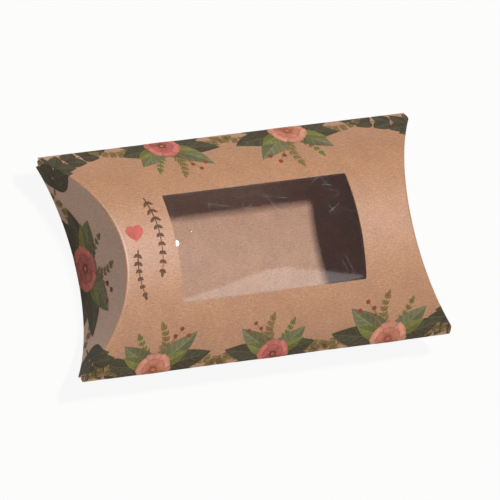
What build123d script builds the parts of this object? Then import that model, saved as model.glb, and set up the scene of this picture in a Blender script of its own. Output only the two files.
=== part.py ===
from build123d import *

import os
from math import acos, asin, cos, sin, sqrt

# Outside of the closed box
box_length = 125.0  # between the sharp points where the creases of one end would meet
box_width = 66.0  # between the two side creases
box_height = 31.0  # from the line it rests on to the top of the window panel
tip_cut = 2.5  # how far each pointed corner is cut back along the length

# Paperboard, film and glue
board = 0.4  # thickness of the board
film = 0.15  # thickness of the clear film
glue = 0.1  # thickness of a glue line
seat_gap = 0.04  # hair gap between a glue line and what it joins
layer_gap = 0.1  # air between loose layers of board
fold_radius = 0.6  # outside rounding of a creased fold

# Window in the top panel and the film behind it
window_length = 60.0
window_width = 31.6  # measured straight across, not round the bend
window_corner = 0.8
film_margin = 6.0  # how far the film reaches beyond the window's ends
film_reach_share = 0.5  # beyond its long sides: this far over to the glue flap's edge
glue_inset = 1.0  # the glue stays this far from the film's edge and from the window

# Glue flap along one side
glue_flap_width = 10.0  # measured round the bend
glue_flap_clear = 2.5  # its ends stay this far from the closed end flaps
seam_inset = 1.2  # the seam glue stays this far inside the glue flap

# Inner end flaps
inner_reach_share = 0.65  # height of the inner flap in its middle, as a share of the box height

# Overrun of every cutting tool
overrun = 5.0

# Arc of both panels, from the width and the height
half_length = box_length / 2
half_width = box_width / 2
half_height = box_height / 2
radius = (half_width**2 + half_height**2) / box_height
front_centre = box_height - radius  # height of the top panel's axis
back_centre = radius  # height of the bottom panel's axis
far = radius + box_height + overrun  # reaches beyond any arc from its axis

# A crease plane at 45 degrees turns the panel's arc into the same arc seen from above,
# so the folded flap is a part of an upright cylinder and draws in by half the height.
apex_x = half_length - half_height  # middle of the end crease
diagonal_share = sqrt(1 + 1)  # stretch of the arc in the 45 degree crease plane
flap_centre = apex_x + radius  # upright axis of the outer flap's hollow face

# Inner end creases sit behind the outer flap: its board and the gap, measured along the length
inner_set_in = (board + layer_gap) * radius / (radius - half_height)
inner_apex_x = apex_x - inner_set_in
inner_centre = flap_centre - inner_set_in

# Side crease of the glue flap, where its face under the top panel meets the bottom panel
glue_top = radius - board - seat_gap  # outer face of both glue lines
lap = board + glue + 2 * seat_gap  # depth of what is glued under the top panel
seam_z = half_height - (2 * radius * lap - lap**2) / (4 * (radius - half_height))
seam_angle = acos((seam_z - front_centre) / (radius - lap))
flap_end_angle = seam_angle - glue_flap_width / (radius - lap)
seam_inset_angle = seam_inset / radius

# Free edge of the inner flap: a flat arc through both corners
inner_rise = box_height * inner_reach_share - half_height
inner_edge_radius = (half_width**2 + inner_rise**2) / (2 * inner_rise)

# Film and window, as angles round the top panel's axis
window_angle = asin(window_width / 2 / radius)
film_angle = window_angle + (flap_end_angle - window_angle) * film_reach_share
film_length = window_length + 2 * film_margin
glue_inset_angle = glue_inset / radius

# Outline of the closed box across its length, with rounded folds
with BuildSketch(Plane.YZ) as outer_lens:
    with Locations((0, front_centre)):
        Circle(radius)
    with Locations((0, back_centre)):
        Circle(radius, mode=Mode.INTERSECT)
    fillet(outer_lens.vertices(), fold_radius)

with BuildSketch(Plane.YZ) as inner_lens:
    with Locations((0, front_centre)):
        Circle(radius - board)
    with Locations((0, back_centre)):
        Circle(radius - board, mode=Mode.INTERSECT)

# The same two outlines where the bottom panel folds up into the glue flap
with BuildSketch(Plane.YZ) as seam_outer:
    with Locations((0, front_centre)):
        Circle(radius - lap)
    with Locations((0, back_centre)):
        Circle(radius, mode=Mode.INTERSECT)
    fillet(seam_outer.vertices(), fold_radius)

with BuildSketch(Plane.YZ) as seam_inner:
    with Locations((0, front_centre)):
        Circle(radius - lap - board)
    with Locations((0, back_centre)):
        Circle(radius - board, mode=Mode.INTERSECT)

# Space beyond the two creases of the outer flaps, square to the crease plane
with BuildPart() as outer_end:
    with BuildSketch(Plane(origin=(apex_x, 0, box_height), x_dir=(0, 1, 0), z_dir=(1, 0, 1))):
        with Locations((0, -radius * diagonal_share)):
            Ellipse(radius, radius * diagonal_share)
    extrude(amount=box_height, both=True)
    mirror(about=Plane.YZ)

# The same beyond the two creases of the inner flaps
with BuildPart() as inner_end:
    with BuildSketch(Plane(origin=(inner_apex_x, 0, 0), x_dir=(0, 1, 0), z_dir=(1, 0, -1))):
        with Locations((0, radius * diagonal_share)):
            Ellipse(radius, radius * diagonal_share)
    extrude(amount=box_height, both=True)
    mirror(about=Plane.YZ)

# Window, cut square through the bent panel
near = radius - overrun
beyond = radius + overrun
with BuildPart() as window_hole:
    with BuildSketch(Plane.YZ):
        with BuildLine():
            Polyline(
                (sin(window_angle) * near, front_centre + cos(window_angle) * near),
                (sin(window_angle) * beyond, front_centre + cos(window_angle) * beyond),
                (-sin(window_angle) * beyond, front_centre + cos(window_angle) * beyond),
                (-sin(window_angle) * near, front_centre + cos(window_angle) * near),
                close=True,
            )
        make_face()
    extrude(amount=window_length / 2, both=True)
    fillet(
        window_hole.edges().filter_by(Axis.X, reverse=True).filter_by(Axis.Y, reverse=True),
        window_corner,
    )

# Half of the top panel up to its free edge, which ends square over the glue flap's fold
with BuildSketch(Plane.YZ) as free_half:
    with Locations((0, front_centre)):
        Circle(radius)
        Circle(radius - board, mode=Mode.SUBTRACT)
    with BuildLine():
        Polyline(
            (0, front_centre),
            (0, front_centre + far),
            (sin(seam_angle) * far, front_centre + far),
            (sin(seam_angle) * far, front_centre + cos(seam_angle) * far),
            close=True,
        )
    make_face(mode=Mode.INTERSECT)

# Half of the top panel on the folded side, down to the middle of the fold
with BuildSketch(Plane.YZ) as front_fold_half:
    add(outer_lens.sketch_local)
    add(inner_lens.sketch_local, mode=Mode.SUBTRACT)
    with Locations((0, half_height)):
        Rectangle(far, far, align=(Align.MAX, Align.MIN), mode=Mode.INTERSECT)

# Bottom panel on the folded side, up to the middle of the fold
with BuildSketch(Plane.YZ) as back_fold_half:
    add(outer_lens.sketch_local)
    add(inner_lens.sketch_local, mode=Mode.SUBTRACT)
    with Locations((0, half_height)):
        Rectangle(far, far, align=(Align.MAX, Align.MAX), mode=Mode.INTERSECT)

# Bottom panel on the glued side, up to the glue flap's crease
with BuildSketch(Plane.YZ) as back_seam_half:
    add(seam_outer.sketch_local)
    add(seam_inner.sketch_local, mode=Mode.SUBTRACT)
    with Locations((0, seam_z)):
        Rectangle(far, far, align=(Align.MIN, Align.MAX), mode=Mode.INTERSECT)

# Plan of the space between the closed end flaps, for the ends of the glue flap
with BuildSketch() as room_plan:
    Rectangle(box_length, box_width)
    with Locations((inner_centre, 0), (-inner_centre, 0)):
        Circle(radius + board + glue_flap_clear, mode=Mode.SUBTRACT)

# Top panel with the window. The creases cut its ends and the corner tips are blunt.
with BuildPart() as front_panel:
    with BuildSketch(Plane.YZ):
        add(front_fold_half.sketch_local)
        add(free_half.sketch_local)
    extrude(amount=half_length - tip_cut, both=True)
    add(outer_end.part, mode=Mode.SUBTRACT)
    add(window_hole.part, mode=Mode.SUBTRACT)
front_panel.part.label = "front_panel"

# Bottom panel, the other half of the tube
with BuildPart() as back_panel:
    with BuildSketch(Plane.YZ):
        add(back_fold_half.sketch_local)
        add(back_seam_half.sketch_local)
    extrude(amount=half_length - tip_cut, both=True)
    add(inner_end.part, mode=Mode.SUBTRACT)
back_panel.part.label = "back_panel"

# Glue flap, folded up from the bottom panel under the top panel's free edge
with BuildPart() as glue_flap:
    with BuildSketch(Plane.YZ):
        add(seam_outer.sketch_local)
        add(seam_inner.sketch_local, mode=Mode.SUBTRACT)
        with Locations((0, seam_z)):
            Rectangle(far, far, align=(Align.MIN, Align.MIN), mode=Mode.INTERSECT)
        with BuildLine():
            Polyline(
                (0, front_centre),
                (0, front_centre + far),
                (sin(flap_end_angle) * far, front_centre + far),
                (sin(flap_end_angle) * far, front_centre + cos(flap_end_angle) * far),
                close=True,
            )
        make_face(mode=Mode.SUBTRACT)
    extrude(amount=half_length, both=True)
    with BuildSketch():
        add(room_plan.sketch_local)
    extrude(amount=box_height, mode=Mode.INTERSECT)
glue_flap.part.label = "glue_flap"

# Glue line between the top panel and the glue flap
with BuildPart() as seam_glue:
    with BuildSketch(Plane.YZ):
        with Locations((0, front_centre)):
            Circle(glue_top)
            Circle(glue_top - glue, mode=Mode.SUBTRACT)
        with BuildLine():
            Polyline(
                (0, front_centre),
                (
                    sin(flap_end_angle + seam_inset_angle) * far,
                    front_centre + cos(flap_end_angle + seam_inset_angle) * far,
                ),
                (
                    sin(seam_angle - seam_inset_angle) * far,
                    front_centre + cos(seam_angle - seam_inset_angle) * far,
                ),
                close=True,
            )
        make_face(mode=Mode.INTERSECT)
    extrude(amount=half_length, both=True)
    with BuildSketch():
        add(room_plan.sketch_local)
        offset(amount=-seam_inset, kind=Kind.INTERSECTION)
    extrude(amount=box_height, mode=Mode.INTERSECT)
seam_glue.part.label = "seam_glue"

# Clear film behind the window, bent with the panel
with BuildPart() as window_film:
    with BuildSketch(Plane.YZ):
        with Locations((0, front_centre)):
            Circle(radius - lap)
            Circle(radius - lap - film, mode=Mode.SUBTRACT)
        with BuildLine():
            Polyline(
                (0, front_centre),
                (sin(film_angle) * far, front_centre + cos(film_angle) * far),
                (-sin(film_angle) * far, front_centre + cos(film_angle) * far),
                close=True,
            )
        make_face(mode=Mode.INTERSECT)
    extrude(amount=film_length / 2, both=True)
window_film.part.label = "window_film"

# Frame of glue between the panel and the film
with BuildPart() as film_glue:
    with BuildSketch(Plane.YZ):
        with Locations((0, front_centre)):
            Circle(glue_top)
            Circle(glue_top - glue, mode=Mode.SUBTRACT)
        with BuildLine():
            Polyline(
                (0, front_centre),
                (
                    sin(film_angle - glue_inset_angle) * far,
                    front_centre + cos(film_angle - glue_inset_angle) * far,
                ),
                (
                    -sin(film_angle - glue_inset_angle) * far,
                    front_centre + cos(film_angle - glue_inset_angle) * far,
                ),
                close=True,
            )
        make_face(mode=Mode.INTERSECT)
    extrude(amount=film_length / 2 - glue_inset, both=True)
    with BuildSketch(Plane.YZ):
        with BuildLine():
            Polyline(
                (0, front_centre),
                (
                    sin(window_angle + glue_inset_angle) * far,
                    front_centre + cos(window_angle + glue_inset_angle) * far,
                ),
                (
                    -sin(window_angle + glue_inset_angle) * far,
                    front_centre + cos(window_angle + glue_inset_angle) * far,
                ),
                close=True,
            )
        make_face()
    extrude(amount=window_length / 2 + glue_inset, both=True, mode=Mode.SUBTRACT)
film_glue.part.label = "film_glue"

# Outer end flaps, folded down from the top panel. Closed, they lie over the inner flaps.
with BuildPart() as right_outer_flap:
    with BuildSketch():
        with Locations((flap_centre, 0)):
            Circle(radius + board)
            Circle(radius, mode=Mode.SUBTRACT)
        Rectangle((half_length - tip_cut) * 2, box_width, mode=Mode.INTERSECT)
    extrude(amount=box_height)
    add(outer_end.part, mode=Mode.INTERSECT)
    with BuildSketch(Plane.YZ):
        with Locations((0, back_centre)):
            Circle(radius)
    extrude(amount=box_length, mode=Mode.INTERSECT)
right_outer_flap.part.label = "right_outer_flap"

with BuildPart() as left_outer_flap:
    add(right_outer_flap.part)
    mirror(about=Plane.YZ, mode=Mode.REPLACE)
left_outer_flap.part.label = "left_outer_flap"

# Inner end flaps, folded up from the bottom panel, shorter than the outer ones
with BuildPart() as right_inner_flap:
    with BuildSketch():
        with Locations((inner_centre, 0)):
            Circle(radius + board)
            Circle(radius, mode=Mode.SUBTRACT)
        Rectangle((half_length - tip_cut) * 2, box_width, mode=Mode.INTERSECT)
    extrude(amount=box_height)
    add(inner_end.part, mode=Mode.INTERSECT)
    with BuildSketch(Plane.YZ):
        with Locations((0, half_height + inner_rise - inner_edge_radius)):
            Circle(inner_edge_radius)
        with Locations((0, front_centre)):
            Circle(radius - board - layer_gap, mode=Mode.INTERSECT)
    extrude(amount=box_length, mode=Mode.INTERSECT)
right_inner_flap.part.label = "right_inner_flap"

with BuildPart() as left_inner_flap:
    add(right_inner_flap.part)
    mirror(about=Plane.YZ, mode=Mode.REPLACE)
left_inner_flap.part.label = "left_inner_flap"

os.makedirs("parts", exist_ok=True)
export_step(front_panel.part, "parts/front_panel.step")
export_step(back_panel.part, "parts/back_panel.step")
export_step(glue_flap.part, "parts/glue_flap.step")
export_step(seam_glue.part, "parts/seam_glue.step")
export_step(window_film.part, "parts/window_film.step")
export_step(film_glue.part, "parts/film_glue.step")
export_step(right_outer_flap.part, "parts/right_outer_flap.step")
export_step(left_outer_flap.part, "parts/left_outer_flap.step")
export_step(right_inner_flap.part, "parts/right_inner_flap.step")
export_step(left_inner_flap.part, "parts/left_inner_flap.step")
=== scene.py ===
from math import acos, asin, cos, pi, radians, sin, sqrt, tan

import bmesh
import bpy
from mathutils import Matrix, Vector


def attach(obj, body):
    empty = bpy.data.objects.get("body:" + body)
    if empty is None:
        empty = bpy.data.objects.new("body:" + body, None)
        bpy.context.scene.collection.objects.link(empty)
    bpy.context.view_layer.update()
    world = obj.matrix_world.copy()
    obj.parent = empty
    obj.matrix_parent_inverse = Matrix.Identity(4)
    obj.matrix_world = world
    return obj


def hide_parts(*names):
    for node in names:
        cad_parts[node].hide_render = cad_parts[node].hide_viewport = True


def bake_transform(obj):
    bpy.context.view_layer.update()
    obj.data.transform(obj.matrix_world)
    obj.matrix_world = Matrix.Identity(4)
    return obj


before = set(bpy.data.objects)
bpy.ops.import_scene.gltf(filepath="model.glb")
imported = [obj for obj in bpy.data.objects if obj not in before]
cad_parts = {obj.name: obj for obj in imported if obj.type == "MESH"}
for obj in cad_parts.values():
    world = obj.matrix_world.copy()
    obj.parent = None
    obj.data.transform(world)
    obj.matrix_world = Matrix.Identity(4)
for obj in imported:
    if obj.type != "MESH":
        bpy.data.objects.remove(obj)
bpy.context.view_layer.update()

bl_info = {
    "name": "Pillow Box",
    "version": (1, 0, 0),
    "blender": (4, 5, 0),
    "location": "3D View > Sidebar > Pillow Box",
    "description": "A printed kraft pillow box with a film window, bent from flat board",
    "category": "Object",
}

# Where a rounded fold or crease is divided, in shares of its reach
ROUND_STEPS = (-1, -0.6, -0.3, 0, 0.3, 0.6, 1)
# Cells of a panel and of a flap, along the box and round its bend: fine enough to look round
PANEL_CELLS = (90, 52)
FLAP_CELLS = (44, 66)
# The sheet's own coordinates for the grain and the print count in 100 mm
SHEET_UNIT = 0.1
# Height of the lowest ink over the board, and of each layer over the last, in thicknesses of ink
INK_BASE, INK_LAYER = 2.5, 1.5
# Ink stays this far inside the board's outline: at the free side, at the corners, and as a share of a flap
SIDE_MARGIN, CORNER_MARGIN, FLAP_SHARE = 0.00005, 0.00003, 0.995
# Where the ink of a flap is divided, beyond its crease: as finely as the board under it
INK_CUTS = [0.0014 + 0.0006 * step for step in range(32)]
# A flap's depth counts as no less than this where it is divided by
LEAST_DEPTH = 0.001
# How much of the white surround each kind of ray meets; the satin board mirrors it only weakly
WHITE_SHOWN = {"Is Camera Ray": 1.0, "Is Glossy Ray": 0.3, "Is Transmission Ray": 1.0}
# How much of that white the floor shows over its own colour, so that it keeps the shadow
FLOOR_WHITE = 0.92
# How high the reflector card hangs
CARD_HEIGHT = 0.3
# What the lamps point at: the middle of the box
LIT_PLACE = Vector((0, 0, 0.015))


def linear(hex_colour):
    """The linear red, green and blue of an sRGB hex colour."""
    parts = [int(hex_colour[at : at + 2], 16) / 255 for at in (1, 3, 5)]
    return tuple(part / 12.92 if part <= 0.04045 else ((part + 0.055) / 1.055) ** 2.4 for part in parts)


def length(name, default, description):
    """A size in metres that a user may change."""
    return bpy.props.FloatProperty(
        name=name, description=description, default=default, unit="LENGTH", precision=5
    )


def number(name, default, description):
    """A strength or a measure of the studio that a user may change."""
    return bpy.props.FloatProperty(name=name, description=description, default=default)


def colour(name, default, description):
    """A colour that a user may change, given as sRGB hex."""
    return bpy.props.FloatVectorProperty(
        name=name, description=description, default=linear(default), size=3, subtype="COLOR", min=0, max=1
    )


class PillowBoxSizes(bpy.types.PropertyGroup):
    box_length: length("Length", 0.125, "Between the sharp points where the creases of one end would meet")
    box_width: length("Width", 0.066, "Between the two side creases")
    box_height: length("Height", 0.031, "From the line it rests on to the top of the window panel")
    tip_cut: length("Tip cut", 0.0025, "How far each pointed corner is cut back along the length")
    board: length("Board", 0.0004, "Thickness of the paperboard")
    lap: length("Lap", 0.00058, "Depth of board, glue and hair gaps under the top panel's free edge")
    layer_gap: length("Layer gap", 0.0001, "Air between loose layers of board")
    fold_radius: length("Fold radius", 0.0006, "Outside rounding of the side folds")
    crease_round: length("Crease rounding", 0.0008, "How far the bend of a scored end crease reaches each way")
    window_length: length("Window length", 0.06, "Length of the window")
    window_width: length("Window width", 0.0316, "Width of the window, straight across")
    window_corner: length("Window corner", 0.0006, "Rounding of the window's corners")
    inner_reach: length("Inner flap reach", 0.02015, "Height of the inner flap in its middle")
    ink: length("Ink", 0.00001, "Thickness that each layer of ink is drawn with")


class PillowBoxColours(bpy.types.PropertyGroup):
    kraft: colour("Kraft", "#C79068", "The board's own brown")
    kraft_dark: colour("Kraft fibre", "#8E5C39", "The darker fibres in the board")
    inside: colour("Inside", "#D6A88F", "The unprinted inner side of the board")
    inside_dark: colour("Inside fibre", "#A9826C", "The darker fibres of the inner side")
    kraft_edge: colour("Cut edge", "#DCC3A8", "The paler core that a cut shows")
    leaf_dark: colour("Dark leaf", "#2E372A", "Dark green leaves")
    leaf_olive: colour("Olive leaf", "#7C6840", "Olive green sprigs")
    leaf_bright: colour("Bright leaf", "#666C36", "Yellow green leaves")
    leaf_grey: colour("Grey leaf", "#5F6549", "Grey green leaves")
    petal_light: colour("Coral petal rim", "#C9836C", "Rims of the coral petals")
    petal_deep: colour("Coral petal base", "#A44A3E", "Depths of the coral petals")
    pink_light: colour("Pink petal rim", "#C2685F", "Rims of the pink petals")
    pink_deep: colour("Pink petal base", "#7C2230", "Depths of the pink petals")
    heart_pink: colour("Heart", "#C25C56", "The small heart")
    berry_red: colour("Berry", "#85392B", "Red berries")
    stamen: colour("Stamen", "#B47C54", "Stamens in the middle of each blossom")
    line_brown: colour("Line", "#5A3A2C", "Brown lines of the print")


class StageSettings(bpy.types.PropertyGroup):
    camera_place: bpy.props.FloatVectorProperty(
        name="Camera place",
        description="Where the camera stands",
        default=(-1.6996, -0.4959, 3.1458),
        subtype="XYZ",
    )
    camera_turn: bpy.props.FloatVectorProperty(
        name="Camera turn",
        description="How the camera is turned",
        default=(radians(13.8068), radians(-26.3367), radians(-12.7645)),
        subtype="EULER",
    )
    lens: number("Lens", 902.94, "Focal length in millimetres")
    floor_side: length("Floor", 8.0, "Side of the square floor")
    floor: colour("Floor colour", "#D6D2CD", "Pale studio floor")
    key_power: number("Key light", 7.2, "Power of the overhead softbox")
    side_power: number("Side light", 0.85, "Power of the side softbox")
    sky: number("Room light", 0.07, "Strength of the even room light")


class FoldedSheet:
    """Where each point of the flat sheet lies once the box is folded.

    u runs along the box, v round its bend and w outwards. The end creases are cuts of
    the round panel by a plane at 45 degrees, so a flap is the panel's own arc upright.
    """

    def __init__(self, size):
        half_width, half_height = size.box_width / 2, size.box_height / 2
        self.size = size
        self.height = size.box_height
        self.radius = (half_width**2 + half_height**2) / size.box_height
        self.apex = size.box_length / 2 - half_height
        self.inner_apex = self.apex - (size.board + size.layer_gap) * self.radius / (self.radius - half_height)
        self.end = size.box_length / 2 - size.tip_cut
        self.side = self.radius * asin(half_width / self.radius)
        self.fold_leg = size.fold_radius * tan(self.side / self.radius)
        self.overlap = size.crease_round * 1.25
        seam_z = half_height - (2 * self.radius * size.lap - size.lap**2) / (4 * (self.radius - half_height))
        self.seam_turn = acos((seam_z - size.box_height + self.radius) / (self.radius - size.lap))
        self.free_side = self.seam_turn * self.radius
        self.seam = Vector((0, (self.radius - size.lap) * sin(self.seam_turn), seam_z))
        self.seam_side = self.radius * asin(self.seam.y / self.radius)
        rise = size.inner_reach - half_height
        self.inner_edge_radius = (half_width**2 + rise**2) / (2 * rise)

    def drop(self, v):
        """How far the bend has come down at v."""
        return self.radius * (1 - cos(v / self.radius))

    def tip(self, apex):
        """Half width of a flap, where the blunt corner cuts its crease."""
        return self.radius * acos(1 - (self.end - apex) / self.radius)

    def handover(self, v, apex):
        """How far before the crease the panel's piece ends and the flap's begins."""
        return min(self.overlap, max(0, self.tip(apex) - abs(v)))

    def outer_depth(self, v):
        """From the crease to the free edge of an outer flap at v."""
        return self.height - 2 * self.drop(v)

    def inner_depth(self, v):
        """From the crease to the free edge of an inner flap at v."""
        y = self.radius * sin(v / self.radius)
        sag = self.inner_edge_radius - sqrt(self.inner_edge_radius**2 - y**2)
        return self.size.inner_reach - sag - self.drop(v)

    def bent(self, u, v, apex):
        """Point and normal of a panel and its two end flaps, with z counted inwards from the panel."""
        turn = v / self.radius
        drop = self.drop(v)
        y = self.radius * sin(turn)
        way = 1 if u > 0 else -1
        past = abs(u) - apex - drop
        soft = self.size.crease_round
        on_panel = Vector((0, sin(turn), -cos(turn)))
        on_flap = Vector((way * cos(turn), -sin(turn), 0))
        if past <= -soft:
            return Vector((u, y, drop)), on_panel
        if past >= soft:
            return Vector((way * (apex + drop), y, drop + past)), on_flap
        share = (past + soft) / (2 * soft)
        place = Vector((way * (apex + drop - soft * (1 - share) ** 2), y, drop + soft * share**2))
        return place, on_panel.lerp(on_flap, share).normalized()

    def on_front(self, u, v):
        """Point and outward normal of the top sheet."""
        place, normal = self.bent(u, v, self.apex)
        return Vector((place.x, place.y, self.height - place.z)), Vector((normal.x, normal.y, -normal.z))

    def on_back(self, u, v):
        """Point and outward normal of the bottom sheet."""
        return self.bent(u, v, self.inner_apex)

    @staticmethod
    def rounded(start, corner, end, share):
        """A point of the rounding between two faces that would meet in a corner."""
        place = start[0] * (1 - share) ** 2 + corner * 2 * share * (1 - share) + end[0] * share**2
        return place, start[1].lerp(end[1], share).normalized()

    def front(self, flat):
        """Folded place of a point of the top sheet. Beyond the side fold it runs on over the bottom."""
        u, v, w = flat
        past = -v - self.side
        if past >= self.fold_leg:
            place, normal = self.on_back(u, -v - 2 * self.side)
        elif past > -self.fold_leg:
            near = self.on_front(u, self.fold_leg - self.side)
            beyond = self.on_back(u, self.fold_leg - self.side)
            corner = Vector((u, -self.size.box_width / 2, self.height / 2))
            place, normal = self.rounded(near, corner, beyond, (past + self.fold_leg) / (2 * self.fold_leg))
        else:
            place, normal = self.on_front(u, v)
        return place + normal * w

    def back(self, flat):
        """Folded place of a point of the bottom sheet, which rounds up to the glue flap."""
        u, v, w = flat
        past = v - self.seam_side
        if past > -self.fold_leg:
            near = self.on_back(u, self.seam_side - self.fold_leg)
            turn = self.seam_turn - self.fold_leg / self.radius
            up = Vector((0, sin(turn), cos(turn)))
            middle = Vector((u, 0, self.height - self.radius))
            beyond = (middle + up * (self.radius - self.size.lap), up)
            corner = Vector((u, self.seam.y, self.seam.z))
            place, normal = self.rounded(near, corner, beyond, (past + self.fold_leg) / (2 * self.fold_leg))
        else:
            place, normal = self.on_back(u, v)
        return place + normal * w


def cut(sheet, at, across, faces=None, drop=False):
    """Cuts the flat sheet, or some faces of it, along a straight line, and may drop what lies beyond."""
    faces = sheet.faces[:] if faces is None else faces
    # each once, in the mesh's own order, so that every run gives the same mesh
    edges = dict.fromkeys(edge for face in faces for edge in face.edges)
    verts = dict.fromkeys(vert for face in faces for vert in face.verts)
    bmesh.ops.bisect_plane(
        sheet,
        geom=[*verts, *edges, *faces],
        dist=1e-7,
        plane_co=at,
        plane_no=across,
        clear_outer=drop,
    )


def drop_faces(sheet, unwanted):
    """Deletes the faces that a test picks out."""
    bmesh.ops.delete(sheet, geom=[face for face in sheet.faces if unwanted(face)], context="FACES")


def panel_blank(shape, apex, low, high):
    """A flat panel with its ends cut along the curved creases and its corners blunt."""
    sheet = bmesh.new()
    bmesh.ops.create_grid(sheet, x_segments=PANEL_CELLS[0], y_segments=PANEL_CELLS[1], size=1)
    tip = shape.tip(apex)
    for v in (-tip, shape.overlap - tip, tip - shape.overlap, tip):
        cut(sheet, (0, (v - low) / (high - low) * 2 - 1, 0), (0, 1, 0))
    for vert in sheet.verts:
        v = low + (vert.co.y + 1) / 2 * (high - low)
        reach = min(shape.end, apex + shape.drop(v) - shape.handover(v, apex))
        vert.co = (vert.co.x * reach, v, 0)
    return sheet


def fold_lines(sheet, shape, at, steps):
    """Divides the sheet where a side fold rounds it."""
    for step in steps:
        cut(sheet, (0, at + step * shape.fold_leg, 0), (0, 1, 0))


def flap_blank(shape, apex, depth, way):
    """A flat end flap, from just inside its crease to its free edge."""
    sheet = bmesh.new()
    bmesh.ops.create_grid(sheet, x_segments=FLAP_CELLS[0], y_segments=FLAP_CELLS[1], size=1)
    tip = shape.tip(apex)
    for v in (shape.overlap - tip, tip - shape.overlap):
        cut(sheet, (0, v / tip, 0), (0, 1, 0))
    for vert in sheet.verts:
        v = vert.co.y * tip
        start = -shape.handover(v, apex)
        vert.co = (start + (vert.co.x + 1) / 2 * (depth(v) - start), v, 0)
    for step in ROUND_STEPS:
        cut(sheet, (step * shape.size.crease_round, 0, 0), (1, 0, 0))
    for vert in sheet.verts:
        vert.co.x = way * (apex + shape.drop(vert.co.y) + vert.co.x)
    return sheet


def cut_window(sheet, shape):
    """Punches the window, with small round corners."""
    size = shape.size
    half_length = size.window_length / 2
    half_width = shape.radius * asin(size.window_width / 2 / shape.radius)
    corner = size.window_corner
    for way in (-1, 1):
        cut(sheet, (way * half_length, 0, 0), (1, 0, 0))
        cut(sheet, (0, way * half_width, 0), (0, 1, 0))
    slants = []
    for x in (-1, 1):
        for y in (-1, 1):
            for turn in (22.5, 45, 67.5):
                across = Vector((x * cos(radians(turn)), y * sin(radians(turn)), 0))
                centre = Vector((x * (half_length - corner), y * (half_width - corner), 0))
                slants.append((centre + across * corner, across))

    def inside(face):
        middle = face.calc_center_median()
        return abs(middle.x) < half_length and abs(middle.y) < half_width

    def punched(face):
        middle = face.calc_center_median()
        return inside(face) and all((middle - at).dot(across) < 0 for at, across in slants)

    for at, across in slants:
        cut(sheet, at, across, faces=[face for face in sheet.faces if inside(face)])
    drop_faces(sheet, punched)


def thicken(sheet, thickness):
    """Gives the flat sheet its thickness."""
    for vert in sheet.verts:
        vert.normal = (0, 0, 1)
    bmesh.ops.solidify(sheet, geom=sheet.faces[:], thickness=thickness)
    # its new edges and faces come in no fixed order, so all are sorted by their first three corners
    sheet.verts.index_update()
    count = len(sheet.verts)

    def ranked(part):
        rank = 0
        for index in sorted(vert.index for vert in part.verts)[:3]:
            rank = rank * count + index
        return rank

    sheet.edges.sort(key=ranked)
    sheet.faces.sort(key=ranked)


def map_sheet(sheet, layer):
    """Notes where each corner of a face lies on the flat sheet."""
    for face in sheet.faces:
        for loop in face.loops:
            loop[layer].uv = (loop.vert.co.x / SHEET_UNIT, loop.vert.co.y / SHEET_UNIT)


def make_board(sheet, thickness):
    """Makes board of the flat sheet, from w = 0 downwards, with its grain mapped.

    Its material slots are 0 for the outer side, 1 for the cut edges and 2 for the inner side.
    """
    thicken(sheet, thickness)
    highest = max(vert.co.z for vert in sheet.verts)
    for vert in sheet.verts:
        vert.co.z -= highest
    map_sheet(sheet, sheet.loops.layers.uv.new("sheet"))
    sheet.normal_update()
    for face in sheet.faces:
        if abs(face.normal.z) < 0.5:
            face.material_index = 1
        if face.calc_center_median().z < -0.75 * thickness:
            face.material_index = 2


def made_object(name, sheet, materials):
    """Makes an object of a finished mesh, with its place in the mesh."""
    mesh = bpy.data.meshes.new(name)
    sheet.to_mesh(mesh)
    sheet.free()
    for material in materials:
        mesh.materials.append(material)
    made = bpy.data.objects.new(name, mesh)
    bpy.context.scene.collection.objects.link(made)
    return made


def fold(name, sheet, place, materials):
    """Folds the thick flat sheet into its place and makes the finished piece."""
    sheet.normal_update()
    for face in sheet.faces:
        face.smooth = True
    for edge in sheet.edges:
        if len(edge.link_faces) == 2:
            first, second = edge.link_faces
            # only what is square on the flat sheet, such as a cut edge, looks sharp
            edge.smooth = first.normal.dot(second.normal) > 0.5
    for vert in sheet.verts:
        vert.co = place(vert.co)
    sheet.normal_update()
    bmesh.ops.recalc_face_normals(sheet, faces=sheet.faces[:])
    return made_object(name, sheet, materials)


# ---------------------------------------------------------------- materials


def add_node(tree, kind, inputs=None, **settings):
    """Adds one shader node with its settings.

    An input is a value, the output that it is linked from, or the node whose first output that is.
    """
    made = tree.nodes.new("ShaderNode" + kind)
    for name, value in settings.items():
        setattr(made, name, value)
    for key, value in (inputs or {}).items():
        if isinstance(value, bpy.types.Node):
            value = value.outputs[0]
        if isinstance(value, bpy.types.NodeSocket):
            tree.links.new(value, made.inputs[key])
        else:
            made.inputs[key].default_value = value
    return made


def new_material(name):
    """A material with no nodes yet, and its node tree."""
    material = bpy.data.materials.new(name)
    material.use_nodes = True
    material.node_tree.nodes.clear()
    return material, material.node_tree


def rgba(value):
    """A colour as a shader's socket takes it."""
    return (*value, 1)


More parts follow.
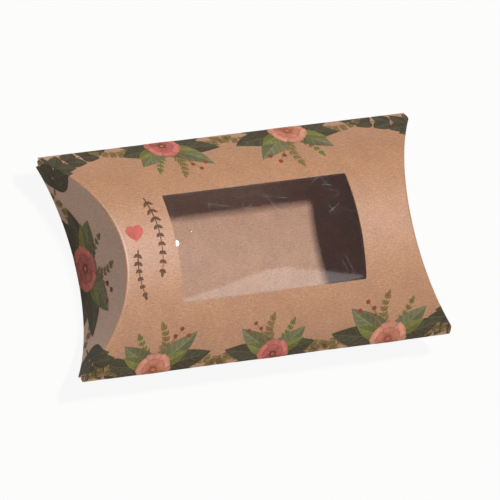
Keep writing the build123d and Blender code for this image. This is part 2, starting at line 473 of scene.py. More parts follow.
def board_fibres(tree, along_sheet):
    """The pattern of the fibres and the coordinates that it is drawn on, which count in 100 mm.

    Real pulp fibres are 0.03 mm wide. They are drawn about ten times as coarse, to show.
    """
    if along_sheet:
        place = add_node(tree, "UVMap", uv_map="sheet")
    else:
        object_place = add_node(tree, "TexCoord").outputs["Object"]
        place = add_node(tree, "Mapping", {"Vector": object_place, "Scale": (10, 10, 10)})
    grain = add_node(tree, "TexNoise", {"Vector": place, "Scale": 170.0, "Detail": 4.0, "Roughness": 0.8})
    patterns = [grain.outputs["Fac"]]
    # two lays of fibres, each turned by degrees, with its fibres' length and width in millimetres
    for turn, fibre_length, fibre_width in ((20, 1.8, 0.3), (-55, 1.6, 0.28)):
        scale = (100 / fibre_length, 100 / fibre_width, 100 / fibre_width)
        laid = add_node(tree, "Mapping", {"Vector": place, "Rotation": (0, 0, radians(turn)), "Scale": scale})
        fibre = add_node(tree, "TexNoise", {"Vector": laid, "Scale": 1.0, "Detail": 2.0})
        patterns.append(fibre.outputs["Fac"])
    crossed = add_node(tree, "Math", {0: patterns[1], 1: patterns[2]}, operation="MAXIMUM")
    fibres = add_node(tree, "Math", {0: patterns[0], 1: 1.6, 2: crossed}, operation="MULTIPLY_ADD")
    return fibres, place


def kraft_board(name, colours, along_sheet=True, inside=False):
    """Unbleached kraft paperboard, glazed on the paper machine's hot drum.

    That gives the outer side a satin sheen and leaves the inner side matt, with fine mixed
    fibres, soft clouding from the pulp and a few dark specks.
    """
    material, tree = new_material(name)
    fibres, place = board_fibres(tree, along_sheet)
    share = add_node(tree, "MapRange", {0: fibres, 1: 1.1, 2: 1.65, 3: 0.0, 4: 0.8})
    light = rgba(colours.inside if inside else colours.kraft)
    dark = rgba(colours.inside_dark if inside else colours.kraft_dark)
    pulp = add_node(tree, "Mix", {0: share, 6: light, 7: dark}, data_type="RGBA").outputs[2]
    # clouding about 7 mm wide, and specks about 0.4 mm wide
    clouds = add_node(tree, "TexNoise", {"Vector": place, "Scale": 14.0, "Detail": 4.0}).outputs["Fac"]
    specks = add_node(tree, "TexNoise", {"Vector": place, "Scale": 240.0, "Detail": 1.0}).outputs["Fac"]
    cloud_share = add_node(tree, "MapRange", {0: clouds, 1: 0.35, 2: 0.65, 3: 0.93, 4: 1.05})
    clouded = add_node(tree, "VectorMath", {0: pulp, 3: cloud_share}, operation="SCALE")
    speck_share = add_node(tree, "MapRange", {0: specks, 1: 0.68, 2: 0.76, 3: 0.0, 4: 0.5})
    speck = rgba(colours.line_brown)
    speckled = add_node(tree, "Mix", {0: speck_share, 6: clouded, 7: speck}, data_type="RGBA")
    bump = add_node(tree, "Bump", {"Height": fibres, "Strength": 0.2, "Distance": 0.00005})
    finish = {
        "Base Color": speckled.outputs[2],
        "Roughness": 0.52,
        "Specular IOR Level": 0.5 if inside else 1.0,
        "Coat Weight": 0.0 if inside else 0.8,
        "Coat Roughness": 0.58,
        "Coat IOR": 1.6,
        "Normal": bump,
    }
    surface = add_node(tree, "BsdfPrincipled", finish)
    add_node(tree, "OutputMaterial", {"Surface": surface})
    return material


def cut_board_edge(name, colours):
    """Die-cut edge of kraft board: the pale torn core of the pulp, matt and slightly fuzzy."""
    material, tree = new_material(name)
    place = add_node(tree, "TexCoord").outputs["Object"]
    # torn fibres, drawn 0.25 mm wide to show on an edge of 0.4 mm
    fuzz = add_node(tree, "TexNoise", {"Vector": place, "Scale": 4000.0, "Detail": 2.0})
    share = add_node(tree, "MapRange", {0: fuzz.outputs["Fac"], 1: 0.4, 2: 0.7, 3: 0.0, 4: 0.7})
    pale, brown = rgba(colours.kraft_edge), rgba(colours.kraft)
    core = add_node(tree, "Mix", {0: share, 6: pale, 7: brown}, data_type="RGBA")
    surface = add_node(tree, "BsdfPrincipled", {"Base Color": core.outputs[2], "Roughness": 0.9})
    add_node(tree, "OutputMaterial", {"Surface": surface})
    return material


def clear_film():
    """Calendered PET window film: clear, glossy, with a few fine handling scratches."""
    material, tree = new_material("Calendered clear PET film")
    place = add_node(tree, "TexCoord").outputs["Object"]
    # hairlines of about 12 mm by 0.25 mm in four directions, drawn wider than real ones, to show
    lines = 0.0
    for turn in (12, 63, 108, 151):
        laid = add_node(tree, "Mapping", {"Vector": place, "Rotation": (0, 0, radians(turn))})
        drawn = add_node(tree, "Mapping", {"Vector": laid, "Scale": (70.0, 2600.0, 60.0)})
        grain = add_node(tree, "TexNoise", {"Vector": drawn, "Scale": 1.0, "Detail": 1.0})
        line = add_node(tree, "MapRange", {0: grain.outputs["Fac"], 1: 0.66, 2: 0.78, 3: 0.0, 4: 1.0})
        lines = add_node(tree, "Math", {0: line, 1: lines}, operation="MAXIMUM")
    # they lie in worn patches about 7 mm wide
    patches = add_node(tree, "TexNoise", {"Vector": place, "Scale": 150.0, "Detail": 3.0})
    worn = add_node(tree, "MapRange", {0: patches.outputs["Fac"], 1: 0.5, 2: 0.68, 3: 0.0, 4: 0.11})
    marks = add_node(tree, "Math", {0: lines, 1: worn}, operation="MULTIPLY")
    scratch = add_node(tree, "Math", {0: marks, 1: 0.01}, operation="ADD")
    # the buckle where the film is glued, which catches the lamp, and two dents beside it
    raised = 0.0
    for middle, reach, rise in (
        ((-0.0257, 0.0022, 0.0306), (0.0071, 0.0118, 0.0167), 1.0),
        ((-0.0238, 0.0042, 0.0304), (0.0022, 0.0034, 0.006), 0.5),
        ((-0.0215, 0.0056, 0.0303), (0.0016, 0.0030, 0.006), 0.35),
    ):
        scale = [1 / wide for wide in reach]
        centre = [-at / wide for at, wide in zip(middle, reach)]
        near = add_node(tree, "Mapping", {"Vector": place, "Location": centre, "Scale": scale})
        dent = add_node(tree, "TexGradient", {"Vector": near}, gradient_type="QUADRATIC_SPHERE")
        raised = add_node(tree, "Math", {0: dent.outputs["Fac"], 1: rise, 2: raised}, operation="MULTIPLY_ADD")
    # the film isn't quite flat: faint ripples about 8 mm wide
    ripple = add_node(tree, "TexNoise", {"Vector": place, "Scale": 120.0, "Detail": 1.0})
    height = add_node(tree, "Math", {0: ripple.outputs["Fac"], 1: 0.006, 2: raised}, operation="MULTIPLY_ADD")
    wavy = add_node(tree, "Bump", {"Height": height, "Strength": 1.0, "Distance": 0.0018})
    facing = add_node(tree, "LayerWeight", {"Blend": 0.5}).outputs["Facing"]
    grazing = add_node(tree, "Math", {0: facing, 1: 5.0}, operation="POWER")
    fresnel = add_node(tree, "Math", {0: grazing, 1: 0.95, 2: 0.05}, operation="MULTIPLY_ADD")
    clear = add_node(tree, "BsdfTransparent", {"Color": rgba(linear("#FDFDFC"))})
    gloss = add_node(tree, "BsdfGlossy", {"Color": (1, 1, 1, 1), "Roughness": 0.05, "Normal": wavy})
    scuff = add_node(tree, "BsdfDiffuse", {"Color": rgba(linear("#F3F3F3"))})
    film = add_node(tree, "MixShader", {0: fresnel, 1: clear, 2: gloss})
    scuffed = add_node(tree, "MixShader", {0: scratch, 1: film, 2: scuff})
    add_node(tree, "OutputMaterial", {"Surface": scuffed})
    return material


def dried_glue():
    """Dried dispersion glue: a thin, slightly milky, half-matt layer."""
    material, tree = new_material("Dried dispersion glue")
    place = add_node(tree, "TexCoord").outputs["Object"]
    # flow marks about 1.4 mm wide
    flow = add_node(tree, "TexNoise", {"Vector": place, "Scale": 700.0, "Detail": 2.0})
    milky, amber = rgba(linear("#D8CDB8")), rgba(linear("#C4B293"))
    tone = add_node(tree, "Mix", {0: flow.outputs["Fac"], 6: milky, 7: amber}, data_type="RGBA")
    surface = add_node(tree, "BsdfPrincipled", {"Base Color": tone.outputs[2], "Roughness": 0.4})
    add_node(tree, "OutputMaterial", {"Surface": surface})
    return material


def printed_ink(name, colours, kind):
    """Offset ink on kraft: matt, thin, with the board's fibres showing through.

    A leaf has a pale midrib and side veins, a petal is deep at its base and pale at its rim.
    """
    material, tree = new_material(name)
    ink = add_node(tree, "Attribute", attribute_name="ink_colour").outputs["Color"]
    place = add_node(tree, "UVMap", uv_map="motif")
    sheet_place = add_node(tree, "UVMap", uv_map="sheet")
    parts = add_node(tree, "SeparateXYZ", {0: place})
    along, across = parts.outputs[0], parts.outputs[1]
    if kind == "leaves":
        from_rib = add_node(tree, "Math", {0: across}, operation="ABSOLUTE")
        rib = add_node(tree, "MapRange", {0: from_rib, 1: 0.02, 2: 0.08, 3: 0.6, 4: 0.0})
        slant = add_node(tree, "Math", {0: from_rib, 1: -0.16, 2: along}, operation="MULTIPLY_ADD")
        wave = add_node(tree, "Math", {0: slant, 1: 52.0}, operation="MULTIPLY")
        swing = add_node(tree, "Math", {0: wave}, operation="SINE")
        veins = add_node(tree, "MapRange", {0: swing, 1: 0.55, 2: 1.0, 3: 0.0, 4: 0.28})
        light = add_node(tree, "Math", {0: rib, 1: veins}, operation="MAXIMUM")
        shade = add_node(tree, "MapRange", {0: along, 1: 0.0, 2: 1.0, 3: 0.8, 4: 1.15})
        pale = add_node(tree, "VectorMath", {0: ink, 1: (2.0, 2.0, 1.7)}, operation="MULTIPLY")
        pale = add_node(tree, "VectorMath", {0: pale, 1: (0.05, 0.06, 0.02)}, operation="ADD")
        tone = add_node(tree, "Mix", {0: light, 6: ink, 7: pale}, data_type="RGBA").outputs[2]
        half = add_node(tree, "MapRange", {0: across, 1: -0.05, 2: 0.05, 3: 0.78, 4: 1.12})
        shade = add_node(tree, "Math", {0: shade, 1: half}, operation="MULTIPLY")
        tone = add_node(tree, "VectorMath", {0: tone, 3: shade}, operation="SCALE")
    elif kind == "petals":
        rim = add_node(tree, "MapRange", {0: along, 1: 0.25, 2: 0.98, 3: 0.0, 4: 1.0})
        light = add_node(tree, "VectorMath", {0: ink, 1: (1.22, 1.34, 1.34)}, operation="MULTIPLY")
        light = add_node(tree, "VectorMath", {0: light, 1: (0.012, 0.01, 0.01)}, operation="ADD")
        tone = add_node(tree, "Mix", {0: rim, 6: ink, 7: light}, data_type="RGBA").outputs[2]
        from_middle = add_node(tree, "Math", {0: across}, operation="ABSOLUTE")
        outline = add_node(tree, "Math", {0: from_middle, 1: along}, operation="MAXIMUM")
        soft = add_node(tree, "MapRange", {0: outline, 1: 0.78, 2: 1.0, 3: 1.0, 4: 0.62})
        base = add_node(tree, "MapRange", {0: along, 1: 0.1, 2: 0.6, 3: 0.6, 4: 1.0})
        soft = add_node(tree, "Math", {0: soft, 1: base}, operation="MULTIPLY")
        streak = add_node(tree, "Math", {0: across, 1: 19.0}, operation="MULTIPLY")
        streak = add_node(tree, "Math", {0: streak}, operation="SINE")
        soft = add_node(tree, "Math", {0: streak, 1: 0.03, 2: soft}, operation="MULTIPLY_ADD")
        tone = add_node(tree, "VectorMath", {0: tone, 3: soft}, operation="SCALE")
    else:
        tone = ink
    # the ink lies unevenly, in patches about 2 mm wide
    wash = add_node(tree, "TexNoise", {"Vector": sheet_place, "Scale": 45.0, "Detail": 3.0}).outputs["Fac"]
    wash = add_node(tree, "MapRange", {0: wash, 1: 0.3, 2: 0.7, 3: 0.82, 4: 1.2})
    tone = add_node(tree, "VectorMath", {0: tone, 3: wash}, operation="SCALE")
    fibres = board_fibres(tree, True)[0]
    through = add_node(tree, "MapRange", {0: fibres, 1: 1.1, 2: 1.65, 3: 0.02, 4: 0.16})
    toned = add_node(tree, "Mix", {0: through, 6: tone, 7: rgba(colours.kraft)}, data_type="RGBA")
    bump = add_node(tree, "Bump", {"Height": fibres, "Strength": 0.2, "Distance": 0.00006})
    finish = {"Base Color": toned.outputs[2], "Roughness": 0.72, "Specular IOR Level": 0.35, "Normal": bump}
    surface = add_node(tree, "BsdfPrincipled", finish)
    add_node(tree, "OutputMaterial", {"Surface": surface})
    return material


# ---------------------------------------------------------------- printed motifs


def from_crease(sheet, shape, way):
    """Counts x outwards from the crease of one end, so that a straight cut follows the crease."""
    for vert in sheet.verts:
        vert.co.x = way * vert.co.x - shape.apex - shape.drop(vert.co.y)


def from_middle(sheet, shape, way):
    """Counts x from the middle of the box again."""
    for vert in sheet.verts:
        vert.co.x = way * (vert.co.x + shape.apex + shape.drop(vert.co.y))


class PrintedSheet:
    """Ink shapes on the flat top sheet, in millimetres there: x along the box and y across."""

    # the slots of the three inks
    LEAF, PETAL, LINE = 0, 1, 2

    def __init__(self, ink):
        self.mesh = bmesh.new()
        self.motif = self.mesh.loops.layers.uv.new("motif")
        self.flat_place = self.mesh.loops.layers.uv.new("sheet")
        self.tint = self.mesh.loops.layers.float_color.new("ink_colour")
        self.ink = ink

    def patch(self, kind, tint, layer, columns, rows, place):
        """A patch of ink: place turns (along 0 to 1, across -1 to 1) into a point of the sheet."""
        made = bmesh.ops.create_grid(self.mesh, x_segments=columns, y_segments=rows, size=1)
        faces = {face for vert in made["verts"] for face in vert.link_faces}
        for face in faces:
            face.material_index = kind
            for loop in face.loops:
                along, across = (loop.vert.co.x + 1) / 2, loop.vert.co.y
                loop[self.motif].uv = (along, across)
                loop[self.tint] = (*tint, 1)
        for vert in made["verts"]:
            x, y = place((vert.co.x + 1) / 2, vert.co.y)
            vert.co = (x / 1000, y / 1000, self.ink * (INK_BASE + INK_LAYER * layer))

    def leaf(self, x, y, turn, reach, wide, tint, layer, curl=0.0, form=(0.75, 1.05), kind=LEAF):
        """One leaf or petal from its base, turned by degrees and curled sideways by a share of its reach.

        form is how fast it widens from its base and narrows to its tip.
        """
        turn = radians(turn)
        widen, narrow = form
        broadest = widen / (widen + narrow)
        most = broadest**widen * (1 - broadest) ** narrow

        def place(along, across):
            half = wide / 2 * along**widen * max(0, 1 - along) ** narrow / most
            forward = along * reach
            sideways = across * half + curl * reach * sin(pi * along / 2) ** 2
            ahead, aside = cos(turn), sin(turn)
            return x + forward * ahead - sideways * aside, y + forward * aside + sideways * ahead

        columns = 4 if wide < 1 else max(8, min(30, round(reach / 0.8)))
        rows = 2 if wide < 1.5 else max(4, round(wide / 0.8))
        self.patch(kind, tint, layer, columns, rows, place)

    def stem(self, points, wide, tint, layer):
        """A thin line along a soft curve through three points."""
        (x0, y0), (x1, y1), (x2, y2) = points

        def place(along, across):
            a, b, c = (1 - along) ** 2, 2 * along * (1 - along), along**2
            px, py = a * x0 + b * x1 + c * x2, a * y0 + b * y1 + c * y2
            dx = (1 - along) * (x1 - x0) + along * (x2 - x1)
            dy = (1 - along) * (y1 - y0) + along * (y2 - y1)
            size = sqrt(dx * dx + dy * dy) or 1
            half = wide / 2 * (1 - 0.6 * along)
            return px - dy / size * half * across, py + dx / size * half * across

        reach = sqrt((x2 - x0) ** 2 + (y2 - y0) ** 2)
        self.patch(self.LINE, tint, layer, max(6, round(reach / 1.5)), 1, place)
        return place

    def frond(self, points, leaflets, reach, wide, tint, layer, lean, taper):
        """A sprig or twig: a stem with pairs of leaflets that get shorter towards its end.

        lean is their angle to the stem in degrees, and taper how much shorter the last ones are.
        """
        place = self.stem(points, 0.5, tint, layer)
        for index in range(leaflets):
            share = (index + 0.6) / leaflets
            x, y = place(share, 0)
            ahead = place(min(1, share + 0.02), 0)
            behind = place(max(0, share - 0.02), 0)
            heading = Vector((ahead[0] - behind[0], ahead[1] - behind[1]))
            angle = heading.angle_signed(Vector((1, 0))) * 180 / pi
            longest = reach * (1 - taper * share) * (0.75 + 0.25 * sin(pi * min(1, share * 2.2)))
            for way in (-1, 1):
                self.leaf(x, y, angle + way * lean, longest, wide, tint, layer, curl=-way * 0.12)
        x, y = place(0.97, 0)
        self.leaf(x, y, angle, reach * (1.1 - taper), wide, tint, layer)

    def dot(self, x, y, wide, tint, layer):
        """A small round spot, such as a berry."""
        self.leaf(x, y - wide / 2, 90, wide, wide, tint, layer, form=(0.5, 0.5), kind=self.LINE)

    def blossom(self, x, y, radius, rim, base, stamen, turn, layer):
        """An open blossom: two rings of broad petals round a tuft of stamens."""
        for ring, (petals, reach, wide) in enumerate(((6, 1.0, 0.94), (5, 0.66, 0.66))):
            tone = [light + (deep - light) * 0.45 * ring for light, deep in zip(rim, base)]
            for index in range(petals):
                tint = [part * (0.9 + 0.06 * ((index * 7 + ring * 3) % 4)) for part in tone]
                angle, level = turn + 360 / petals * index, layer + ring * 2.4 + 0.4 * index
                form = (0.95, 0.34)
                self.leaf(x, y, angle, reach * radius, wide * radius, tint, level, 0.08, form, self.PETAL)
        self.dot(x, y, 0.42 * radius, base, layer + 5.2)
        for index in range(11):
            angle = radians(turn + 360 / 11 * index)
            far = radius * (0.3 + 0.08 * (index % 2))
            self.dot(x + far * cos(angle), y + far * sin(angle), 0.1 * radius, stamen, layer + 6)
        self.dot(x, y, 0.2 * radius, stamen, layer + 6)

    def bunch(self, x, y, facing, radius, colours, pink, lean_to):
        """A blossom on a fan of leaves, with sprigs and berries, that opens the way it faces.

        The side that lean_to names (1 or -1) has the longer sprig and the berries.
        """
        ahead = Vector((cos(radians(facing)), sin(radians(facing))))
        aside = Vector((-ahead.y, ahead.x))

        def at(forward, sideways):
            place = Vector((x, y)) + (ahead * forward + aside * sideways) * radius
            return place.x, place.y

        dark, grey = colours.leaf_dark, colours.leaf_grey
        bright, olive = colours.leaf_bright, colours.leaf_olive
        for way in (-1, 1):
            full = 1.0 if way == lean_to else 0.82
            path = at(-0.2, way * 0.8), at(0.7, way * 2.4), at(-0.1, way * 3.9)
            self.frond(path, 7, 4.4, 2.0, olive, 0, 48, 0.5)
            for lean, reach, wide, tint, level in (
                (98, 2.7, 1.2, dark, 1.0),
                (72, 3.2 * full, 1.3, dark, 1.4),
                (44, 2.9 * full, 1.15, grey, 1.9),
                (58, 2.0, 0.8, bright, 2.3),
            ):
                self.leaf(*at(0, 0), facing + way * lean, reach * radius, wide * radius, tint, level, way * 0.1)
        path = at(0.4, 0.2 * lean_to), at(1.4, 0.7 * lean_to), at(2.3, 0.3 * lean_to)
        self.frond(path, 6, 3.4, 1.3, olive, 0.5, 52, 0.4)
        path = at(0.4, -0.2 * lean_to), at(1.2, -0.7 * lean_to), at(1.9, -1.0 * lean_to)
        self.frond(path, 5, 2.8, 1.1, bright, 0, 52, 0.4)
        for forward, sideways in ((1.75, 1.0), (2.1, 1.35), (1.7, 1.75)):
            berry = at(forward, sideways * lean_to)
            self.stem((at(0.6, 0.4 * lean_to), at(1.4, 0.8 * lean_to), berry), 0.3, olive, 3)
            self.dot(*berry, 0.24 * radius, colours.berry_red, 3.5)
        rim = colours.pink_light if pink else colours.petal_light
        base = colours.pink_deep if pink else colours.petal_deep
        self.blossom(x, y, radius, rim, base, colours.stamen, facing, 4)

    def heart(self, x, y, tall, tint):
        """A plain heart from two leaning lobes."""
        for way in (-1, 1):
            lean, form = 90 - way * 26, (1.2, 0.5)
            self.leaf(x, y - tall / 2, lean, tall, tall * 0.6, tint, 0, way * 0.08, form, self.LINE)

    def parts(self, shape):
        """Cuts the print to the die-cut sheet and at its creases: the middle and both end flaps."""
        sheet = self.mesh
        tip = shape.tip(shape.apex)

        def on_flap(face):
            return abs(face.calc_center_median().y) < tip

        cut(sheet, (0, shape.free_side - SIDE_MARGIN, 0), (0, 1, 0), drop=True)
        fold_lines(sheet, shape, -shape.side, ROUND_STEPS)
        for v in (-tip, tip):
            cut(sheet, (0, v, 0), (0, 1, 0))
        for way in (-1, 1):
            from_crease(sheet, shape, way)
            for at in [step * shape.size.crease_round for step in ROUND_STEPS] + [-shape.overlap]:
                cut(sheet, (at, 0, 0), (1, 0, 0))
            # the flap's depth counts as 1, so that one straight cut follows its free edge
            for vert in sheet.verts:
                vert.co.x /= max(LEAST_DEPTH, shape.outer_depth(vert.co.y))
            cut(sheet, (FLAP_SHARE, 0, 0), (1, 0, 0), faces=[face for face in sheet.faces if on_flap(face)])
            drop_faces(sheet, lambda face: on_flap(face) and face.calc_center_median().x > FLAP_SHARE)
            for vert in sheet.verts:
                vert.co.x *= max(LEAST_DEPTH, shape.outer_depth(vert.co.y))
            from_middle(sheet, shape, way)
        edge = shape.end - CORNER_MARGIN
        for way in (-1, 1):
            cut(sheet, (way * edge, 0, 0), (1, 0, 0), faces=[face for face in sheet.faces if not on_flap(face)])
        drop_faces(sheet, lambda face: not on_flap(face) and abs(face.calc_center_median().x) > edge)
        map_sheet(sheet, self.flat_place)

        def region(face):
            middle = face.calc_center_median()
            past = abs(middle.x) - shape.apex - shape.drop(middle.y)
            if on_flap(face) and past > -shape.overlap:
                return "right" if middle.x > 0 else "left"
            return "middle"

        made = {}
        for name in ("middle", "left", "right"):
            part = sheet.copy()
            drop_faces(part, lambda face: region(face) != name)
            if name != "middle":
                # as many steps as the board beyond the crease
                way = 1 if name == "right" else -1
                from_crease(part, shape, way)
                for at in INK_CUTS:
                    cut(part, (at, 0, 0), (1, 0, 0))
                from_middle(part, shape, way)
            made[name] = part
        sheet.free()
        return made


def border_print(colours, ink):
    """A border of blossoms and leaves. Positions are millimetres on the flat top sheet."""
    sheet = PrintedSheet(ink)
    # Bunches along both long edges, those of one edge between those of the other
    for x, radius, pink, lean_to in ((-21, 5.5, True, 1), (20, 6.0, False, -1)):
        sheet.bunch(x, 35.5, -90, radius, colours, pink, lean_to)
    for x, radius, pink, lean_to in ((-38, 5.8, False, -1), (1, 5.2, True, 1), (39, 6.2, False, 1)):
        sheet.bunch(x, -36, 90, radius, colours, pink, lean_to)
    for way in (-1, 1):
        # Laurel twigs over both corners of the crease, and a bunch at the free edge of the flap
        for side in (-1, 1):
            path = (way * 69, side * 24), (way * 60, side * 32), (way * 45, side * 36)
            sheet.frond(path, 5, 11.0, 4.8, colours.leaf_dark, 0, 42, 0.35)
        sheet.bunch(way * 72, 1, 90 + way * 90, 6.8, colours, True, way)
    # Two brown vines and a heart left of the window
    sheet.heart(-42.3, 5.5, 5.2, colours.heart_pink)
    sheet.frond(((-36, 16), (-33, 5), (-36, -7)), 9, 2.6, 1.0, colours.line_brown, 0, 60, 0.3)
    sheet.frond(((-42.5, 0.5), (-44.5, -6), (-42, -13)), 6, 2.0, 1.0, colours.line_brown, 0, 60, 0.3)
    return sheet


# ---------------------------------------------------------------- operators


def settings(context):
    """The sizes and the colours that the pieces are made with."""
    return context.scene.pillow_box_sizes, context.scene.pillow_box_colours


def board_materials(colours):
    """The board's outer side, its cut edge and its inner side, made once and shared."""
    made = bpy.data.materials
    outer, edge, inner = "Machine-glazed kraft board", "Die-cut kraft board edge", "Inside of the kraft board"
    return [
        made.get(outer) or kraft_board(outer, colours),
        made.get(edge) or cut_board_edge(edge, colours),
        made.get(inner) or kraft_board(inner, colours, inside=True),
    ]


def crease_blend(piece, apex, top):
    """Bakes the piece's place into its mesh.
    """
    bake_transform(piece)


class PILLOWBOX_OT_top_panel(bpy.types.Operator):
    """Bend the top panel with its window"""

    bl_idname = "pillow_box.top_panel"
    bl_label = "Top panel"

    def execute(self, context):
        size, colours = settings(context)
        shape = FoldedSheet(size)
        sheet = panel_blank(shape, shape.apex, -shape.side - shape.overlap, shape.free_side)
        fold_lines(sheet, shape, -shape.side, ROUND_STEPS)
        cut_window(sheet, shape)
        make_board(sheet, size.board)
        piece = fold("top_panel", sheet, shape.front, board_materials(colours))
        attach(piece, "sleeve")
        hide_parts("front_panel")
        return {"FINISHED"}


class PILLOWBOX_OT_bottom_panel(bpy.types.Operator):
    """Bend the bottom panel up to the glue flap"""

    bl_idname = "pillow_box.bottom_panel"
    bl_label = "Bottom panel"

    def execute(self, context):
        size, colours = settings(context)
        shape = FoldedSheet(size)
        sheet = panel_blank(shape, shape.inner_apex, shape.overlap - shape.side, shape.seam_side)
        fold_lines(sheet, shape, shape.seam_side, ROUND_STEPS[:3])
        make_board(sheet, size.board)
        piece = fold("bottom_panel", sheet, shape.back, board_materials(colours))
        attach(piece, "sleeve")
        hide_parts("back_panel")
        return {"FINISHED"}


class PILLOWBOX_OT_end_flaps(bpy.types.Operator):
    """Fold the four end flaps over their curved creases"""

    bl_idname = "pillow_box.end_flaps"
    bl_label = "End flaps"

    def execute(self, context):
        size, colours = settings(context)
        shape = FoldedSheet(size)
        board, edge, inside = board_materials(colours)
        for side, way in (("left", -1), ("right", 1)):
            outer = flap_blank(shape, shape.apex, shape.outer_depth, way)
            make_board(outer, size.board)
            # the outer flap has one finish on both faces
            piece = fold(side + "_outer_end", outer, shape.front, [board, edge, board])
            crease_blend(piece, shape.apex, size.box_height)
            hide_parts(side + "_outer_flap")
            inner = flap_blank(shape, shape.inner_apex, shape.inner_depth, way)
            make_board(inner, size.board)
            piece = fold(side + "_inner_end", inner, shape.back, [board, edge, inside])
            crease_blend(piece, shape.inner_apex, 0)
            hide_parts(side + "_inner_flap")
        return {"FINISHED"}


class PILLOWBOX_OT_window(bpy.types.Operator):
    """Finish the window film, the glue lines and the glue flap"""

    bl_idname = "pillow_box.window"
    bl_label = "Film and glue"

    def execute(self, context):
        colours = settings(context)[1]
        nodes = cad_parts
        glue = dried_glue()
        for node, material in (
            ("window_film", clear_film()),
            ("film_glue", glue),
            ("seam_glue", glue),
            ("glue_flap", kraft_board("Kraft board of the glue flap", colours, along_sheet=False)),
        ):
            nodes[node].material_slots[0].material = material
        return {"FINISHED"}


class PILLOWBOX_OT_print(bpy.types.Operator):
    """Print the flower and leaf border"""

    bl_idname = "pillow_box.print"
    bl_label = "Printed border"

    def execute(self, context):
        size, colours = settings(context)
        shape = FoldedSheet(size)
        inks = [printed_ink("Offset ink, " + kind, colours, kind) for kind in ("leaves", "petals", "lines")]
        for name, part in border_print(colours, size.ink).parts(shape).items():
            thicken(part, size.ink)
            piece = fold("print_" + name, part, shape.front, inks)
            if name == "middle":
                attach(piece, "sleeve")
            else:
                crease_blend(piece, shape.apex, size.box_height)
        return {"FINISHED"}


def white_shown(tree):
    """The share of the white surround that a ray meets, by its kind."""
    seen = add_node(tree, "LightPath")
    shown = 0.0
    for ray, part in WHITE_SHOWN.items():
        sums = {0: seen.outputs[ray], 1: part, 2: shown}
        shown = add_node(tree, "Math", sums, operation="MULTIPLY_ADD", use_clamp=True)
    return shown


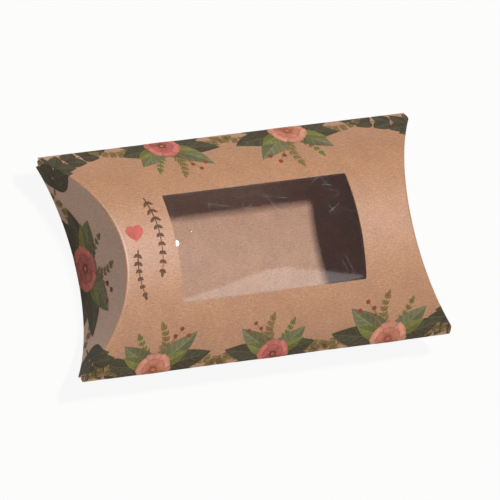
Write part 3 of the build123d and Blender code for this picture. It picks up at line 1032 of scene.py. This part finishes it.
class PILLOWBOX_OT_stage(bpy.types.Operator):
    """Set the pale floor, the soft lights and the camera"""

    bl_idname = "pillow_box.stage"
    bl_label = "Stage"

    def execute(self, context):
        scene = context.scene
        stage = scene.pillow_box_stage
        material, tree = new_material("Matt studio paper")
        paper = add_node(tree, "BsdfDiffuse", {"Color": rgba(stage.floor)})
        share = add_node(tree, "Math", {0: white_shown(tree), 1: FLOOR_WHITE}, operation="MULTIPLY")
        white = add_node(tree, "Emission", {"Color": (1, 1, 1, 1), "Strength": 1.0})
        surface = add_node(tree, "MixShader", {0: share, 1: paper, 2: white})
        add_node(tree, "OutputMaterial", {"Surface": surface})
        floor_sheet = bmesh.new()
        bmesh.ops.create_grid(floor_sheet, x_segments=1, y_segments=1, size=stage.floor_side / 2)
        floor = made_object("studio_floor", floor_sheet, [material])

        # the room: white all round, and as dim as the room light overhead
        world = bpy.data.worlds.new("studio_room")
        world.use_nodes = True
        room = world.node_tree
        room.nodes.clear()
        direction = add_node(room, "TexCoord").outputs["Generated"]
        upwards = add_node(room, "SeparateXYZ", {0: direction}).outputs[2]
        wall = add_node(room, "MapRange", {0: upwards, 1: 0.3, 2: 0.5, 3: 1.0, 4: stage.sky})
        strength = add_node(room, "Mix", {0: white_shown(room), 2: stage.sky, 3: wall}, data_type="FLOAT")
        light = add_node(room, "Background", {"Color": (1, 1, 1, 1), "Strength": strength})
        add_node(room, "OutputWorld", {"Surface": light})
        scene.world = world

        # a cut white card that only the film mirrors
        material, tree = new_material("White reflector card")
        seen = add_node(tree, "LightPath")
        clear = add_node(tree, "BsdfTransparent")
        glow = add_node(tree, "Emission", {"Color": (1, 1, 1, 1), "Strength": 1.2})
        surface = add_node(tree, "MixShader", {0: seen.outputs["Is Glossy Ray"], 1: clear, 2: glow})
        add_node(tree, "OutputMaterial", {"Surface": surface})
        card_sheet = bmesh.new()
        outline = ((0.134, -0.23), (0.150, -0.092), (0.157, -0.092), (0.204, -0.182), (0.212, -0.23))
        corners = [card_sheet.verts.new((*corner, CARD_HEIGHT)) for corner in outline]
        bmesh.ops.contextual_create(card_sheet, geom=corners)
        card = made_object("reflector_card", card_sheet, [material])

        for name, power, place, wide, kind in (
            ("key_softbox", stage.key_power, (0.0, 0.12, 0.85), 0.08, "RECTANGLE"),
            ("side_softbox", stage.side_power, (0.2, -0.75, 0.6), 0.4, "ELLIPSE"),
        ):
            lamp = bpy.data.lights.new(name, "AREA")
            lamp.shape = kind
            lamp.size = lamp.size_y = wide
            lamp.energy = power
            holder = bpy.data.objects.new(name, lamp)
            scene.collection.objects.link(holder)
            holder.location = place
            holder.rotation_euler = (LIT_PLACE - Vector(place)).to_track_quat("-Z", "Y").to_euler()

        lens = bpy.data.cameras.new("camera")
        lens.lens = stage.lens
        lens.sensor_width = 36
        lens.clip_start, lens.clip_end = 0.05, 50
        camera = bpy.data.objects.new("camera", lens)
        scene.collection.objects.link(camera)
        camera.location = stage.camera_place
        camera.rotation_euler = stage.camera_turn
        scene.camera = camera
        scene.view_settings.view_transform = "Standard"
        return {"FINISHED"}


class PILLOWBOX_PT_panel(bpy.types.Panel):
    """Lists the pieces of the pillow box"""

    bl_idname = "PILLOWBOX_PT_panel"
    bl_label = "Pillow box"
    bl_space_type = "VIEW_3D"
    bl_region_type = "UI"
    bl_category = "Pillow Box"

    def draw(self, context):
        for operator in OPERATORS:
            self.layout.operator(operator.bl_idname)
        for group in (*settings(context), context.scene.pillow_box_stage):
            for name in group.bl_rna.properties.keys():
                if name not in ("rna_type", "name"):
                    self.layout.prop(group, name)


OPERATORS = (
    PILLOWBOX_OT_top_panel,
    PILLOWBOX_OT_bottom_panel,
    PILLOWBOX_OT_end_flaps,
    PILLOWBOX_OT_window,
    PILLOWBOX_OT_print,
    PILLOWBOX_OT_stage,
)
CLASSES = (PillowBoxSizes, PillowBoxColours, StageSettings, *OPERATORS, PILLOWBOX_PT_panel)


def register():
    for kind in CLASSES:
        bpy.utils.register_class(kind)
    bpy.types.Scene.pillow_box_sizes = bpy.props.PointerProperty(type=PillowBoxSizes)
    bpy.types.Scene.pillow_box_colours = bpy.props.PointerProperty(type=PillowBoxColours)
    bpy.types.Scene.pillow_box_stage = bpy.props.PointerProperty(type=StageSettings)


def unregister():
    del bpy.types.Scene.pillow_box_stage
    del bpy.types.Scene.pillow_box_colours
    del bpy.types.Scene.pillow_box_sizes
    for kind in reversed(CLASSES):
        bpy.utils.unregister_class(kind)


def main():
    """Makes every piece and the stage."""
    register()
    bpy.ops.pillow_box.stage()
    bpy.ops.pillow_box.top_panel()
    bpy.ops.pillow_box.bottom_panel()
    bpy.ops.pillow_box.end_flaps()
    bpy.ops.pillow_box.window()
    bpy.ops.pillow_box.print()


if __name__ == "__main__":
    main()
